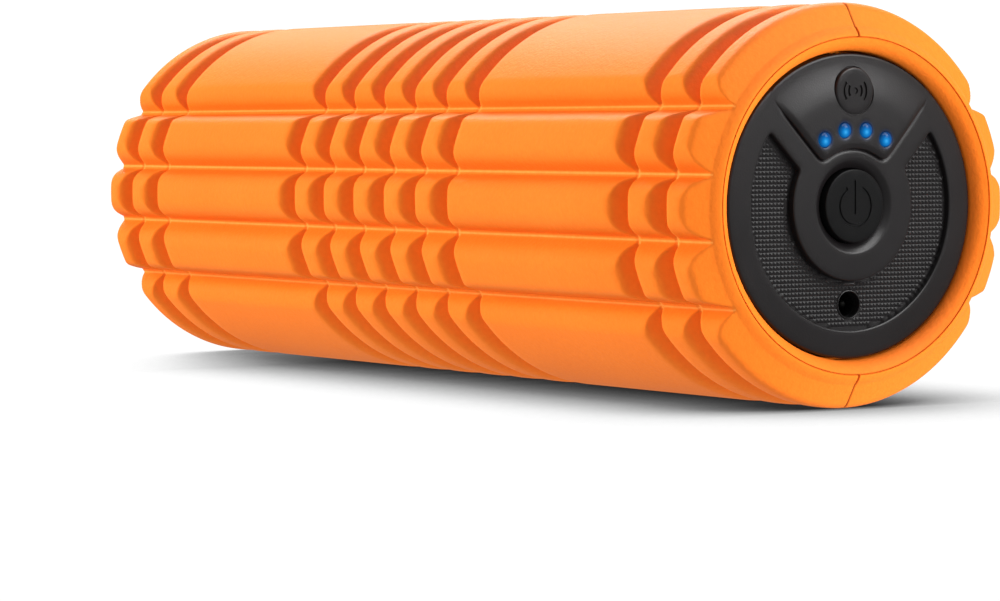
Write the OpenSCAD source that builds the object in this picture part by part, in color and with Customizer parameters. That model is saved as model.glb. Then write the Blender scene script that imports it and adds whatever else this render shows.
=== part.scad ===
// Vibrating foam roller: a grooved foam sleeve on a rigid tube that holds a battery, a control
// board and a motor with eccentric weights. The roller's axis is X, the control end is at +X,
// Z is up and the origin is the middle of the roller.

/* [Foam sleeve] */
// Overall length, between the end faces of the foam
roller_len = 312; // [308:1:330]
// Outside diameter over the foam
roller_dia = 100; // [98:1:108]
// Depth of the ring grooves in the foam
groove_depth = 6; // [3:0.5:7]
// Half of a ring groove's width at the surface
ring_half_w = 5.8; // [4:0.1:7]
// Half of a lengthwise groove's width at the surface
slot_half_w = 7.2; // [4:0.1:7.6]
// Width of the wider, inner flank of the two outer lengthwise grooves on each side
slot_wide_w = 9; // [6:0.1:10]
// Distance between neighbouring ring grooves
ring_pitch = 16.2; // [15:0.1:18]
// Angle of the two inner lengthwise grooves from the middle of each side
inner_slot = 10.6; // [9.5:0.1:12]
// Angle of the two outer lengthwise grooves from the middle of each side
outer_slot = 33.6; // [31:0.1:36]

/* [Core] */
// Outside diameter of the rigid core tube
tube_dia = 75; // [75:0.5:78]
// Wall thickness of the core tube
tube_wall = 2.5; // [2:0.1:2.6]

/* [Control end] */
// Height of the cap's dome at its middle, above its rim
dome_h = 2.1; // [1.5:0.1:2.4]
// Diameter of the power button
button_dia = 18; // [16:0.5:18]
// Travel of the power button
button_travel = 0.8; // [0.4:0.1:0.8]
// Radius of the circle that the four indicator lights sit on
light_circle_r = 18.5; // [18:0.1:19]
// Diameter of the hole for the charging plug
charge_hole_dia = 6.5; // [6:0.1:7]
// Distance of the charging hole below the middle of the cap
charge_drop = 24.3; // [24:0.1:25]

/* [Battery] */
// Diameter of a battery cell
cell_dia = 18.4; // [18:0.1:18.6]
// Length of a battery cell
cell_len = 65; // [60:1:66]

/* [Drive] */
// Diameter of the motor's can
motor_dia = 35.8; // [34:0.1:36]
// Diameter of the motor's own shaft
motor_shaft_dia = 3.2; // [3:0.1:4]
// Diameter of the shaft that carries the weights
drive_shaft_dia = 8; // [8:0.1:8]
// Outside radius of an eccentric weight
weight_r = 22; // [16:0.5:22]
// Thickness of an eccentric weight
weight_t = 12; // [8:0.5:12]

/* [Hidden] */

$fn = 96;
half_len = roller_len / 2;
foam_r = roller_dia / 2;
tube_r = tube_dia / 2;
tube_in_r = tube_r - tube_wall;
slip = 0.05;            // running gap around parts that turn or slide
gap = 0.1;              // assembly gap between parts that stay still

// Foam: grooves and end lip
groove_steps = 3;       // flats on each side of a groove
lip_steps = 3;          // flats on each rounding of an end lip
slot_depth = groove_depth - 0.3;    // the lengthwise grooves end just short of the rings' depth
slot_over = 0.1;        // how far a lengthwise groove's section starts outside the surface
foam_bore_r = tube_r + slip;
scoop_x = half_len - 2; // where the outer surface reaches the groove depth at an end
lip_r = 2;              // rounding between the outer surface and the end face
lip_in = [3, 2.6];      // rounding between the end face and the bore, across and along
mid_rings = [-2.5, -1.5, -0.5, 0.5, 1.5, 2.5];
end_rings = [scoop_x - 13.5, scoop_x - 13.5 - ring_pitch];

// Caps
tube_end = half_len - 10;
cap_rim_x = half_len - 2.8;
cap_r = tube_r - 0.2;
plate_back = half_len - 6.2;
spigot_r = tube_in_r - gap;
spigot_wall = 2.5;
spigot_end = tube_end - 16;
recess_floor_x = half_len - 4.1;
recess_out_r = 30.7;
recess_in_r = 18.6;
fan_rise = 0.6;         // height of the raised fan panel above the dome
fan_arc_r = 14.7;
dish_r = 12;
badge_z = 28.2;
badge_r = 5.3;
cap_screw_x = half_len - 17;
cap_screw_angles = [90, 210, 330];
board_post_angles = [45, 135, 225, 315];
board_post_r = 26;
light_angles = [60, 80, 100, 120];
light_r = 1.8;

// Board and the parts on it, as places along X
board_x = half_len - 20;
board_t = 1.6;
board_front = board_x + board_t;
board_r = 30;

// Button and switch
button_r = button_dia / 2;
button_face = half_len - 1.8;
flange_t = 1.5;
flange_r = button_r + 1.6;
flange_front = plate_back - gap;
switch_top = board_front + 3.5;
plunger_top = switch_top + 1.9;
plunger_r = 1.75;

// Charging jack
jack_half = 4.5;
jack_bore_r = 3;
jack_pin_r = 1.05;
jack_pin_len = 8.5;     // straight part of the pin, clear of the housing's base
jack_tail_r = 0.8;      // the pin's thinner tail, in the housing's base
jack_base = 2.2;

// Battery
cell_r = cell_dia / 2;
cell_y = cell_r + 0.4;
cell_x = 50;
cell_end = cell_x + cell_len;

// Chassis
chassis_r = 33.2;
chassis_wall = 2;
chassis_in_r = chassis_r - chassis_wall;
chassis_half = half_len - 32;
rib_t = 3;
cell_ribs = [54, 80, 106];
chassis_screw_x = [100, 10, -87];
chassis_screw_y = 27.2;
wire_z = 24;
lead_r = 0.9;
lead_end = board_x - 3;
ring_x = [-79, 0, 88];

// Drive train, as places along X from the motor to the far end
motor_x = -25;
motor_len = 56;
motor_end = motor_x + motor_len;
motor_r = motor_dia / 2;
motor_screw_y = 12.5;
shaft_r = motor_shaft_dia / 2;
coupling_x = -48;
coupling_len = 17;
drive_r = drive_shaft_dia / 2;
drive_x = -109;
drive_end = -40.6;
bearing_x = [-60, -105];
bearing_w = 7;
bearing_out_r = 11;
bearing_pitch_r = 7.5;
race_half = 1.5;        // half of the space between the two races
ball_r = 1.98;
ball_count = 7;
weight_x = [-77, -93];
weight_hub_r = 9;

foam_colour = "#FA8C2D";
shell_colour = "#3A3637";
steel_colour = "#B9BDC2";

// Turns a shape so that its own X, Y and Z become the roller's Y, Z and X, starting at x
module on_x(x) {
    translate([x, 0, 0]) rotate([90, 0, 90]) children();
}

// A round bar or disc about the roller's axis
module disc_x(x, r, len) {
    on_x(x) cylinder(r = r, h = len);
}

// A round tube about the roller's axis
module tube_x(x, r_out, r_in, len) {
    difference() {
        disc_x(x, r_out, len);
        disc_x(x - 1, r_in, len + 2);
    }
}

// Places a shape at a radius and an angle in the roller's YZ plane
module polar(r, angle) {
    translate([0, r * cos(angle), r * sin(angle)]) children();
}

// Points a shape's Z axis outwards, along a radius of the roller at the given angle
module radial(x, angle) {
    translate([x, 0, 0]) rotate([angle - 90, 0, 0]) children();
}

// A straight-sided block given by its centre in Y and Z and its span in X
module block_x(x0, x1, y, z, wy, wz) {
    translate([x0, y - wy / 2, z - wz / 2]) cube([x1 - x0, wy, wz]);
}

// Depth of a ring groove: smooth at its shoulders and at its bottom
function ring_drop(t) = groove_depth * (1 + cos(180 * t)) / 2;

// Depth of a lengthwise groove: smooth at its shoulders and sharp at its bottom
function slot_drop(t) = (slot_depth + slot_over) * (1 - sin(90 * abs(t)));

// Section of one ring groove, as radius and x
function ring_points(centre) = [
    for (k = [-groove_steps : groove_steps])
        [foam_r - ring_drop(k / groove_steps), centre + ring_half_w * k / groove_steps]
];

// Section of the +X end: the scoop, the outer lip, the flat end face and the inner lip
function end_points() = concat(
    [for (k = [-groove_steps : 0])
        [foam_r - ring_drop(k / groove_steps), scoop_x + ring_half_w * k / groove_steps]],
    [for (k = [1 : lip_steps])
        let (a = 90 * k / lip_steps)
        [foam_r - groove_depth - lip_r * (1 - cos(a)), scoop_x + lip_r * sin(a)]],
    [for (k = [0 : lip_steps])
        let (a = 90 * k / lip_steps)
        [foam_bore_r + lip_in[0] * (1 - sin(a)), half_len - lip_in[1] * (1 - cos(a))]]
);

function half_outline() = concat(
    [for (m = mid_rings) if (m > 0) for (p = ring_points(m * ring_pitch)) p],
    ring_points(end_rings[1]),
    ring_points(end_rings[0]),
    end_points()
);

function reversed(points) = [for (k = [len(points) - 1 : -1 : 0]) points[k]];
function flipped(points) = [for (p = points) [p[0], -p[1]]];

module foam_sleeve() {
    outline = half_outline();
    color(foam_colour) intersection() {
        on_x(0) rotate_extrude() polygon(concat(reversed(flipped(outline)), outline));
        on_x(-half_len - 1) linear_extrude(roller_len + 2) difference() {
            circle(r = foam_r + 1);
            for (side = [0, 180], turn = [0, 1]) rotate(side) mirror([0, turn, 0]) {
                slot_section(inner_slot, slot_half_w);
                slot_section(outer_slot, slot_wide_w);
            }
        }
    }
}

// A point at a distance along the foam's surface from an angle, and at a radius
function rim_point(angle, along, r) = let (a = angle + along / foam_r * 180 / PI) [r * cos(a), r * sin(a)];

// Section of one lengthwise groove at an angle, whose inner flank is inner_w wide
module slot_section(angle, inner_w) {
    polygon(concat(
        [rim_point(angle, -inner_w, foam_r + 3)],
        [for (k = [-groove_steps : groove_steps])
            let (w = k < 0 ? inner_w : slot_half_w, t = k / groove_steps)
            rim_point(angle, w * t, foam_r + slot_over - slot_drop(t))],
        [rim_point(angle, slot_half_w, foam_r + 3)]
    ));
}

module core_tube() {
    color("#4A4A4C") difference() {
        tube_x(-tube_end, tube_r, tube_in_r, 2 * tube_end);
        for (x = [-cap_screw_x, cap_screw_x], a = cap_screw_angles) radial(x, a) {
            translate([0, 0, tube_in_r - 2]) cylinder(r = 1.6, h = 6);
            translate([0, 0, tube_r - 1.6]) cylinder(r1 = 1.6, r2 = 3.3, h = 1.7);
        }
    }
}

// Height of the dome at a distance r from the middle
function dome_x(r) = cap_rim_x + dome_h * (1 - pow(r / cap_r, 2));

// Solid plate with a domed face, from x = back up to the dome raised by rise, out to radius r
module dome_plate(back, r, rise = 0) {
    steps = 8;
    on_x(0) rotate_extrude() polygon(concat(
        [[0, back], [r, back]],
        [for (k = [steps : -1 : 0]) [r * k / steps, dome_x(r * k / steps) + rise]]
    ));
}

// The shape that both caps share: domed plate, collar and spigot with its screw bosses
module cap_blank() {
    dome_plate(plate_back, cap_r);
    tube_x(tube_end + slip, cap_r, spigot_r - spigot_wall, plate_back - tube_end);
    tube_x(spigot_end, spigot_r, spigot_r - spigot_wall, tube_end + 1 - spigot_end);
    for (a = cap_screw_angles) radial(cap_screw_x, a)
        translate([0, 0, board_r + 0.8]) cylinder(r = 3.2, h = 3);
}

module cap_screw_pilots() {
    for (a = cap_screw_angles) radial(cap_screw_x, a)
        translate([0, 0, board_r]) cylinder(r = 1.45, h = 8);
}

// Outline of the raised panel that fans out above the button
module fan_outline() {
    difference() {
        intersection() {
            polygon([[10, 12], [26, 27], [26, 40], [-26, 40], [-26, 27], [-10, 12], [-8, 11.4], [8, 11.4]]);
            circle(r = cap_r - 1);
        }
        circle(r = fan_arc_r);
    }
}

// Outline of the C-shaped textured recess around the hub
module recess_outline() {
    difference() {
        circle(r = recess_out_r);
        circle(r = recess_in_r);
        polygon([[0, -6], [16.4, 9.4], [25.4, 17.8], [40, 31.5], [-40, 31.5], [-25.4, 17.8], [-16.4, 9.4]]);
    }
}

// Round badge with a plain dot and two arcs, which stand for vibration
module badge() {
    groove_d = 0.3;
    top = dome_x(badge_z) + fan_rise + 0.45;
    translate([0, 0, badge_z]) difference() {
        disc_x(plate_back + 1, badge_r, top - plate_back - 1);
        on_x(top - groove_d) linear_extrude(1) {
            circle(r = 0.9);
            for (r = [2, 3.6]) difference() {
                circle(r = r + 0.35);
                circle(r = r - 0.35);
                polygon([[-9, -9], [9, 9], [-9, 9], [9, -9]]);
            }
        }
    }
}

module front_cap() {
    color(shell_colour) difference() {
        union() {
            cap_blank();
            intersection() {
                on_x(plate_back) linear_extrude(10) fan_outline();
                dome_plate(plate_back, cap_r, fan_rise);
            }
            badge();
            for (a = board_post_angles) polar(board_post_r, a)
                disc_x(board_front, 3.2, plate_back - board_front + 1);
            for (y = [-1, 1], z = [-1, 1])
                block_x(plate_back - 5, plate_back + 1, y * (flange_r + 1.7), z * 1.85, 3, 1);
        }
        on_x(recess_floor_x) linear_extrude(10) recess_outline();
        disc_x(plate_back - 1, button_r + slip, 12);
        on_x(half_len - 3) cylinder(r1 = button_r + 0.3, r2 = dish_r, h = 1.9);
        disc_x(half_len - 1.11, dish_r, 3);
        for (a = light_angles) polar(light_circle_r, a) disc_x(plate_back - 1, light_r + slip, 12);
        translate([0, 0, -charge_drop]) disc_x(plate_back - 1, charge_hole_dia / 2, 12);
        for (a = board_post_angles) polar(board_post_r, a) disc_x(board_front - 1, 1.15, 9);
        cap_screw_pilots();
    }
}

module rear_cap() {
    color(shell_colour) mirror([1, 0, 0]) difference() {
        cap_blank();
        on_x(recess_floor_x) linear_extrude(10) difference() {
            circle(r = recess_out_r);
            circle(r = recess_in_r);
        }
        cap_screw_pilots();
    }
}

module cap_screws() {
    color(steel_colour) for (x = [-cap_screw_x, cap_screw_x], a = cap_screw_angles) radial(x, a) {
        translate([0, 0, board_r + 1]) cylinder(r = 1.4, h = tube_r - board_r - 2);
        translate([0, 0, tube_r - 1.5]) cylinder(r1 = 1.4, r2 = 2.8, h = 1.4);
    }
}

// Power symbol: an open ring with a bar through its gap
module power_symbol() {
    difference() {
        circle(r = 4.6);
        circle(r = 4.05);
        polygon([[0, 0], [4.2, 8], [-4.2, 8]]);
    }
    translate([-0.25, -1.2]) square([0.5, 7.4]);
}

module power_button() {
    color("#232122") difference() {
        union() {
            disc_x(flange_front - flange_t, button_r, button_face - flange_front + flange_t);
            disc_x(flange_front - flange_t, flange_r, flange_t);
            block_x(flange_front - flange_t, flange_front, 0, 0, 2 * flange_r + 3.2, 2.4);
        }
        tube_x(flange_front - flange_t - 1, button_r - 1.4, 2.2, button_face - flange_front + 1);
        on_x(button_face - 0.25) linear_extrude(1) power_symbol();
    }
    color("#232122") disc_x(plunger_top + slip, 2.2, flange_front - plunger_top);
}

// Section of a light pipe: a round rod with a collar behind the cap and a domed end
module pipe_section() {
    steps = 4;
    back = board_front + 1.4;
    top = dome_x(light_circle_r) + fan_rise - 0.4;
    collar = flange_front - 1;
    polygon(concat(
        [[0, back], [light_r, back], [light_r, collar], [light_r + 0.6, collar]],
        [[light_r + 0.6, flange_front], [light_r, flange_front]],
        [for (k = [0 : steps])
            [light_r * cos(90 * k / steps), top + 0.9 * sin(90 * k / steps)]]
    ));
}

module light_pipes() {
    color("#1B72D8") for (a = light_angles) polar(light_circle_r, a)
        on_x(0) rotate_extrude() pipe_section();
}

module status_leds() {
    color("#F2F2E8") for (a = light_angles) polar(light_circle_r, a)
        block_x(board_front, board_front + 1, 0, 0, 2.2, 1.6);
}

module control_board() {
    color("#1F5C3A") difference() {
        disc_x(board_x, board_r, board_t);
        for (a = board_post_angles) polar(board_post_r, a) disc_x(board_x - 1, 1.4, 4);
    }
}

module board_screws() {
    color(steel_colour) for (a = board_post_angles) polar(board_post_r, a) {
        disc_x(board_x - 1.6, 2.4, 1.6);
        disc_x(board_x - 0.5, 1.1, 7);
    }
}

module board_chips() {
    color("#1C1C1E") {
        block_x(board_x - 1, board_x, -12, -10, 7, 7);
        block_x(board_x - 1, board_x, -1, -14, 5, 4);
        for (z = [8, 15]) block_x(board_x - 1.8, board_x, 13, z, 6, 5);
    }
}

module board_capacitor() {
    color("#2C3E66") translate([0, 13, -9]) disc_x(board_x - 8, 4, 8);
}

module board_inductor() {
    color("#4B4641") difference() {
        block_x(board_x - 3, board_x, -14, 8, 7, 7);
        translate([0, -14, 8]) disc_x(board_x - 4, 1.6, 2.5);
    }
}

// Two-way socket on the board's rear face, with a well that the lead ends sit in
module lead_socket(z) {
    difference() {
        block_x(board_x - 6, board_x, 0, z, 9, 5.5);
        block_x(board_x - 7, board_x - 2, 0, z, 7.6, 3.4);
    }
}

module battery_socket() {
    color("#EDE8DC") lead_socket(0);
}

module motor_socket() {
    color("#EDE8DC") lead_socket(14);
}

module switch_body() {
    color("#2A2A2C") difference() {
        block_x(board_front, switch_top, 0, 0, 6, 6);
        disc_x(board_front + 1, plunger_r + slip, 5);
    }
}

module switch_plunger() {
    color("#D8D4CC") disc_x(board_front + 2, plunger_r, plunger_top - board_front - 2);
}

module charge_jack_housing() {
    slot_w = 2.2;
    color("#19191B") translate([0, 0, -charge_drop]) difference() {
        block_x(board_front, plate_back - gap, 0, 0, 2 * jack_half, 2 * jack_half);
        disc_x(board_front + jack_base, jack_bore_r, 20);
        disc_x(board_front - 1, jack_tail_r + 0.02, 5);
        block_x(board_front - 1, plate_back - 3, 0, -jack_bore_r, slot_w, 1.4);
    }
}

module charge_jack_pin() {
    color("#D9C27A") translate([0, 0, -charge_drop]) {
        disc_x(board_front, jack_tail_r, jack_base + 1);
        disc_x(board_front + jack_base + 0.3, jack_pin_r, jack_pin_len);
        translate([board_front + jack_base + 0.3 + jack_pin_len, 0, 0]) sphere(r = jack_pin_r);
    }
}

module charge_jack_spring() {
    color("#C9CCD0") translate([0, 0, -charge_drop])
        block_x(board_front + 0.5, plate_back - 3.5, 0, -jack_bore_r, 1.8, 0.4);
}

module battery_cells() {
    button_h = 0.8;
    color("#2F7FB8") for (side = [-1, 1]) translate([0, side * cell_y, 0]) {
        disc_x(cell_x, cell_r, cell_len - button_h);
        disc_x(side > 0 ? cell_end - button_h : cell_x - button_h, 3.5, button_h);
    }
}

module battery_tabs() {
    tab_t = 0.3;
    front = [cell_end - 0.8, cell_end];
    color("#C8C6BE") {
        difference() {
            block_x(cell_x - 0.8 - tab_t, cell_x - 0.8, 0, 0, 2 * cell_y + 8, 7);
            translate([0, 0, 0]) disc_x(cell_x - 3, 1, 5);
        }
        for (k = [0, 1]) block_x(front[k], front[k] + tab_t, (2 * k - 1) * cell_y, 0, 7, 6);
    }
}

// A round lead through a list of points
module lead(points) {
    for (k = [0 : len(points) - 2]) hull() for (p = [points[k], points[k + 1]])
        translate(p) sphere(r = lead_r, $fn = 16);
}

module battery_leads() {
    for (side = [-1, 1]) color(side > 0 ? "#C32020" : "#1E1E1E") lead([
        [cell_end + 1.3, side * cell_y, 0],
        [cell_end + 5, side * (cell_y - 1), 1],
        [lead_end - 9, side * 2.5, 1.6],
        [lead_end, side * 2, 0]
    ]);
}

module motor_leads() {
    for (side = [-1, 1]) color(side > 0 ? "#C32020" : "#1E1E1E") lead([
        [motor_end + 7.5, side * 8, 0],
        [motor_end + 9.5, side * 8, 6],
        [motor_end + 12.5, side * 3, wire_z],
        [chassis_half + 1.5, side * 3, wire_z],
        [lead_end - 4, side * 2, 14],
        [lead_end, side * 2, 14]
    ]);
}

// A disc-shaped rib inside the chassis, with the opening for the leads
module rib(x, len) {
    difference() {
        disc_x(x, chassis_in_r + 0.5, len);
        translate([0, 0, wire_z]) disc_x(x - 1, 5, len + 2);
    }
}

// Ring that holds a bearing, open on one side and with a lip on the other
module bearing_seat(x) {
    difference() {
        union() {
            disc_x(x - 1.5, 14.5, bearing_w + 3);
            rib(x + 2, rib_t);
        }
        disc_x(x, bearing_out_r + 0.02, bearing_w + 3);
        disc_x(x - 3, bearing_out_r - 1.3, bearing_w);
    }
}

// The whole chassis before it is split into its two halves
module chassis_body() {
    difference() {
        union() {
            tube_x(-chassis_half, chassis_r, chassis_in_r, 2 * chassis_half);
            difference() {
                union() {
                    for (x = cell_ribs) rib(x, rib_t);
                    rib(cell_x - 5, rib_t - 1);
                }
                for (side = [-1, 1]) translate([0, side * cell_y, 0])
                    disc_x(cell_x - 0.9, cell_r + 0.15, cell_len + 2);
            }
            difference() {
                rib(motor_end - 8, rib_t);
                disc_x(motor_end - 9, motor_r + gap, rib_t + 2);
            }
            difference() {
                rib(motor_x - rib_t - slip, rib_t);
                disc_x(motor_x - 5, 6.7, 8);
                for (y = [-1, 1]) translate([0, y * motor_screw_y, 0]) disc_x(motor_x - 5, 1.7, 8);
            }
            for (x = [-1, 1]) difference() {
                rib(x > 0 ? chassis_half - rib_t : -chassis_half, rib_t);
                disc_x(x * chassis_half - 5, 12.5, 10);
            }
            for (x = bearing_x) bearing_seat(x);
            for (x = chassis_screw_x, y = [-1, 1])
                translate([x, y * chassis_screw_y, -9]) cylinder(r = 3.3, h = 18);
        }
        for (x = chassis_screw_x, y = [-1, 1]) translate([x, y * chassis_screw_y, 0]) {
            translate([0, 0, -7]) cylinder(r = 1.45, h = 14);
            translate([0, 0, 4]) cylinder(r = 2.9, h = 30);
        }
    }
}

module chassis_half_space(top) {
    depth = 40;
    translate([-half_len, -depth, top ? slip : -depth - slip]) cube([roller_len, 2 * depth, depth]);
}

module chassis_lower() {
    color("#5B5D60") intersection() {
        chassis_body();
        chassis_half_space(false);
    }
}

module chassis_upper() {
    color("#6B6D70") intersection() {
        chassis_body();
        chassis_half_space(true);
    }
}

module chassis_screws() {
    color(steel_colour) for (x = chassis_screw_x, y = [-1, 1]) translate([x, y * chassis_screw_y, 0]) {
        translate([0, 0, 4]) cylinder(r = 2.7, h = 2);
        translate([0, 0, -6.5]) cylinder(r = 1.4, h = 11);
    }
}

module isolation_rings() {
    color("#202022") for (x = ring_x) tube_x(x, tube_in_r - slip, chassis_r + slip, 8);
}

module end_cushions() {
    len = spigot_end - chassis_half - 2 * gap;
    color("#202022") for (x = [chassis_half + gap, -chassis_half - gap - len])
        tube_x(x, tube_in_r - 0.4, 27, len);
}

module motor_can() {
    wall = 1.2;
    color("#A9ADB2") difference() {
        union() {
            disc_x(motor_x, motor_r, motor_len);
            disc_x(motor_x - 3, 6.5, 4);
        }
        disc_x(motor_x + wall, motor_r - wall, motor_len);
        disc_x(motor_x - 4, shaft_r + slip, 8);
        for (y = [-1, 1]) translate([0, y * motor_screw_y, 0]) disc_x(motor_x - 2, 1.45, 5);
    }
}

module motor_end_cap() {
    color("#E6E1D6") difference() {
        disc_x(motor_end - 6, motor_r - 1.25, 6);
        disc_x(motor_end - 8, shaft_r + slip, 20);
        for (y = [-1, 1]) block_x(motor_end - 9, motor_end + 1, y * 8, 0, 0.7, 3.2);
    }
}

module motor_magnets() {
    color("#3D3A3A") difference() {
        tube_x(motor_x + 7, motor_r - 1.25, motor_r - 4.2, 32);
        for (z = [-1, 1]) block_x(motor_x, motor_end, 0, z * 15, 14, 16);
    }
}

module motor_brushes() {
    color("#2E2A28") for (y = [-1, 1])
        block_x(motor_end - 13, motor_end - 8, y * 7, 0, 5.8, 4);
}

module motor_terminals() {
    color("#C9A24A") for (y = [-1, 1])
        block_x(motor_end - 8, motor_end + 6.5, y * 8, 0, 0.5, 3);
}

module motor_screws() {
    color(steel_colour) for (y = [-1, 1]) translate([0, y * motor_screw_y, 0]) {
        disc_x(motor_x - rib_t - 2.2, 2.7, 2);
        disc_x(motor_x - rib_t - 1, 1.4, rib_t + 3.5);
    }
}

module motor_armature() {
    color("#8C4A2B") difference() {
        union() {
            disc_x(motor_x + 9, motor_r - 4.8, 28);
            disc_x(motor_x + 36, 4, 13);
        }
        disc_x(motor_x, shaft_r + 0.02, motor_len);
        for (a = [30, 150, 270]) rotate([a, 0, 0]) block_x(motor_x + 8, motor_x + 38, 0, 12, 2.4, 9);
    }
}

module motor_shaft() {
    color(steel_colour) disc_x(coupling_x + 8.5, shaft_r, motor_end - coupling_x - 8.5);
}

module shaft_coupling() {
    color("#C3A15A") difference() {
        disc_x(coupling_x, 7, coupling_len);
        disc_x(coupling_x - 1, drive_r + 0.02, drive_end - coupling_x + 1.1);
        disc_x(coupling_x - 1, shaft_r + 0.02, coupling_len + 2);
        for (x = [coupling_x + 3.5, coupling_x + 13]) translate([x, 0, 0]) cylinder(r = 1.45, h = 8);
    }
}

module coupling_set_screws() {
    color("#3A3A3C") {
        translate([coupling_x + 3.5, 0, drive_r + slip]) cylinder(r = 1.4, h = 2.8);
        translate([coupling_x + 13, 0, shaft_r + slip]) cylinder(r = 1.4, h = 5);
    }
}

module drive_shaft() {
    color(steel_colour) disc_x(drive_x, drive_r, drive_end - drive_x);
}

module eccentric_weights() {
    color("#8F8B84") for (x = weight_x) difference() {
        on_x(x) linear_extrude(weight_t) {
            circle(r = weight_hub_r);
            intersection() {
                circle(r = weight_r);
                translate([-weight_r, -2 * weight_r]) square([2 * weight_r, 2 * weight_r]);
            }
        }
        disc_x(x - 1, drive_r + 0.02, weight_t + 2);
        translate([x + weight_t / 2, 0, 0]) cylinder(r = 1.95, h = weight_hub_r + 1);
    }
}

module weight_set_screws() {
    color("#3A3A3C") for (x = weight_x) translate([x + weight_t / 2, 0, drive_r + slip])
        cylinder(r = 1.9, h = 4.6);
}

// The torus that the balls run in, made a little larger than the balls
module ball_track(x) {
    on_x(x + bearing_w / 2) rotate_extrude() translate([bearing_pitch_r, 0]) circle(r = ball_r + slip);
}

module bearing_outer_races() {
    color(steel_colour) for (x = bearing_x) difference() {
        tube_x(x, bearing_out_r, bearing_pitch_r + race_half, bearing_w);
        ball_track(x);
    }
}

module bearing_inner_races() {
    color("#CDD0D4") for (x = bearing_x) difference() {
        tube_x(x, bearing_pitch_r - race_half, drive_r + 0.02, bearing_w);
        ball_track(x);
    }
}

module bearing_cages() {
    color("#B08D4C") for (x = bearing_x) difference() {
        tube_x(x + 1.1, bearing_pitch_r + 0.7, bearing_pitch_r - 0.7, bearing_w - 2.2);
        for (k = [1 : ball_count]) radial(x + bearing_w / 2, 360 * k / ball_count)
            cylinder(r = ball_r + 0.04, h = 2 * bearing_pitch_r);
    }
}

module bearing_balls() {
    color("#E3E5E8") for (x = bearing_x, k = [1 : ball_count])
        polar(bearing_pitch_r, 360 * k / ball_count)
            translate([x + bearing_w / 2, 0, 0]) sphere(r = ball_r);
}

foam_sleeve();
core_tube();
front_cap();
rear_cap();
cap_screws();
power_button();
light_pipes();
status_leds();
control_board();
board_screws();
board_chips();
board_capacitor();
board_inductor();
battery_socket();
motor_socket();
switch_body();
switch_plunger();
charge_jack_housing();
charge_jack_pin();
charge_jack_spring();
battery_cells();
battery_tabs();
battery_leads();
motor_leads();
chassis_lower();
chassis_upper();
chassis_screws();
isolation_rings();
end_cushions();
motor_can();
motor_end_cap();
motor_magnets();
motor_brushes();
motor_terminals();
motor_screws();
motor_armature();
motor_shaft();
shaft_coupling();
coupling_set_screws();
drive_shaft();
eccentric_weights();
weight_set_screws();
bearing_outer_races();
bearing_inner_races();
bearing_cages();
bearing_balls();
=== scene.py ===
"""Looks of a vibrating foam roller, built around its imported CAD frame.

The roller's axis is X, its control end is at +X and Z is up. Shapes are worked out in millimetres
and turned into metres when a mesh is made. An outline is an array of (y, z) points, anticlockwise
as seen from the control end, and a height is a place along X.
"""
import math

import bpy
import numpy as np
from mathutils import Matrix, Vector
from mathutils.geometry import delaunay_2d_cdt


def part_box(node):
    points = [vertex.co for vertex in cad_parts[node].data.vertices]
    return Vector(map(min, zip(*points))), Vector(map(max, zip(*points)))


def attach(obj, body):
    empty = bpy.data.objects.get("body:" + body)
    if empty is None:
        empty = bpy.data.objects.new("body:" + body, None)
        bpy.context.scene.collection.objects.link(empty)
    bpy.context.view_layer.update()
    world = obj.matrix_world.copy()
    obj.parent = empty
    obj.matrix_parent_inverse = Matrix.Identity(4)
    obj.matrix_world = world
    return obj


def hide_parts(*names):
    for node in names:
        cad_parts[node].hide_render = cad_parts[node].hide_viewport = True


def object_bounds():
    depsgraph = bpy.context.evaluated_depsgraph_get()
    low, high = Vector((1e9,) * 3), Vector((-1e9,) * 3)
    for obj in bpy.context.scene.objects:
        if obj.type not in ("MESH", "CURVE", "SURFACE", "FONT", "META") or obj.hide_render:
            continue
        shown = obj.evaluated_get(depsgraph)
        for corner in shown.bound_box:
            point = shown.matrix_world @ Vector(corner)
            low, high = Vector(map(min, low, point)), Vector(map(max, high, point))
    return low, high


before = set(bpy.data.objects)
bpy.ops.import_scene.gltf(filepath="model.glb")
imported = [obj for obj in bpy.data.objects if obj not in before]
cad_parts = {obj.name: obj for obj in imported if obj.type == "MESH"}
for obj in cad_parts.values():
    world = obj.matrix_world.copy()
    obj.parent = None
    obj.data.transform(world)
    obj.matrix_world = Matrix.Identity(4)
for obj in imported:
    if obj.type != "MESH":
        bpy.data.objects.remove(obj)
cad_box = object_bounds()
MM = 0.001


# ---------------------------------------------------------------- places that come from the frame

X, Z = 0, 2


def top_of(node, axis):
    """Highest coordinate of a CAD node along an axis, in millimetres."""
    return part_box(node)[1][axis] / MM


def bottom_of(node, axis):
    """Lowest coordinate of a CAD node along an axis, in millimetres."""
    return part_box(node)[0][axis] / MM


HALF_LEN = top_of("foam_sleeve", X)
FOAM_R = top_of("foam_sleeve", Z)
TUBE_R = top_of("core_tube", Z)
BUTTON_FACE = top_of("power_button", X)
BUTTON_BACK = bottom_of("power_button", X)
PLUNGER_TOP = top_of("switch_plunger", X)
LIGHT_BACK = bottom_of("light_pipes", X)
CAP_FACE = top_of("front_cap", X)
JACK_Z = (top_of("charge_jack_housing", Z) + bottom_of("charge_jack_housing", Z)) / 2
SPIGOT_END = bottom_of("front_cap", X)

# ---------------------------------------------------------------- sizes, in millimetres

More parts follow.
